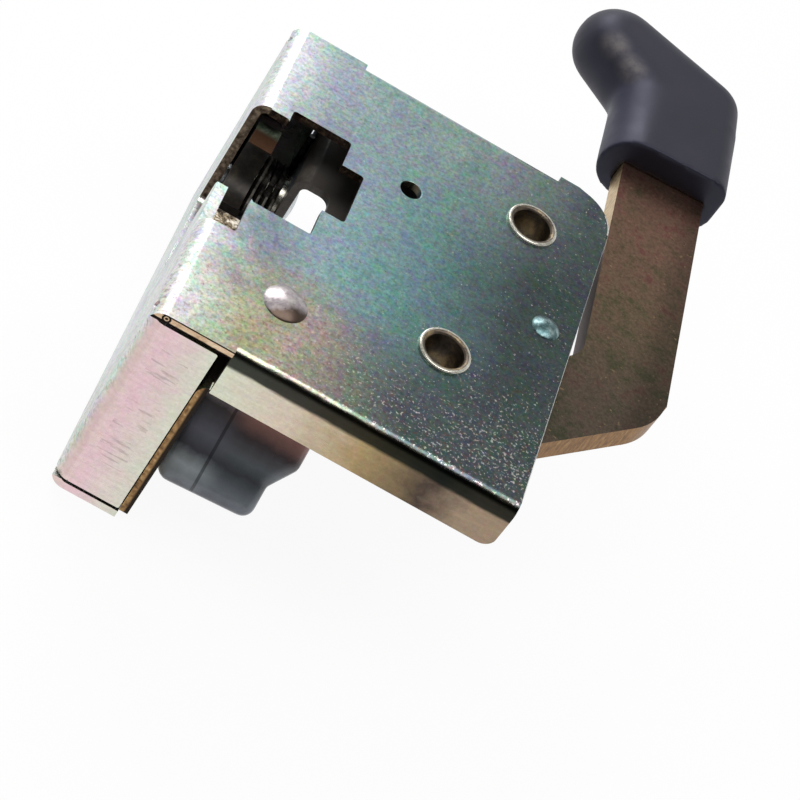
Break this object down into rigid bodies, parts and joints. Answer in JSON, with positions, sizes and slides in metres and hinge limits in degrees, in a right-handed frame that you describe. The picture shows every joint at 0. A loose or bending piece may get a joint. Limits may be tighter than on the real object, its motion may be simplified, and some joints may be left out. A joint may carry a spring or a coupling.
{
  "type": "door_lock",
  "caption": "Rotary car door lock with a folded zinc-plated housing, spring-loaded claw and pawl, two tubular mounting bushes, an inside pull lever with a black grip and a release pad",
  "frame": {"origin": "centre of the lower mounting bush, on the outside of the main face", "axes": "+X from the mouth's flange towards the lever, +Y from the lower wall up to the grip, +Z out of the main face along the mounting bushes"},
  "size_m": [0.1083, 0.1712, 0.0635],
  "materials": {
    "plated_sheet": "zinc plated and passivated, faintly iridescent",
    "bright_steel": "bright zinc plated",
    "rivet_steel": "zinc plated rivet, peened",
    "lever_steel": "dark yellow-brown passivated steel bar with sheared edges",
    "claw_steel": "yellow-green passivated steel",
    "spring_steel": "drawn spring wire",
    "black_plastic": "moulded, satin, slightly worn"
  },
  "bodies": {
    "root": {"housing": "plated_sheet", "back_plate": "plated_sheet", "lower_bush": "bright_steel", "upper_bush": "bright_steel", "lever_rivet": "rivet_steel", "stop_rivet": "rivet_steel", "lever_washer": "bright_steel", "lever_spring": "spring_steel", "claw_pivot": "rivet_steel", "claw_sleeve": "bright_steel", "claw_spring": "spring_steel", "claw_stop": "rivet_steel", "pawl_pivot": "rivet_steel", "pawl_sleeve": "bright_steel", "pawl_spring": "spring_steel", "lower_spacer": "rivet_steel", "upper_spacer": "rivet_steel"},
    "claw_body": {"claw": "claw_steel"},
    "pawl_body": {"pawl": "claw_steel", "release_pad": "black_plastic"},
    "lever_body": {"lever": "lever_steel", "grip": "black_plastic"}
  },
  "joints": [
    {"name": "claw_turn", "type": "hinge", "parent": "root", "child": "claw_body", "pos_m": [-0.052, 0.047, -0.027], "axis": [1, 0, 0], "range_deg": [0, 37], "stiffness_Nm_per_rad": 0.4, "springref_deg": -20.05},
    {"name": "lever_pull", "type": "hinge", "parent": "root", "child": "lever_body", "pos_m": [-0.0341, -0.011, -0.006], "axis": [0, 0, -1], "range_deg": [0, 8], "stiffness_Nm_per_rad": 3, "springref_deg": -5.73},
    {"name": "pawl_lift", "type": "hinge", "parent": "root", "child": "pawl_body", "pos_m": [-0.052, 0.0054, -0.0224], "axis": [-1, 0, 0], "range_deg": [0, 10]}
  ],
  "couplings": [
    {"joint": "pawl_lift", "follows": "lever_pull", "ratio": 1.25}
  ]
}
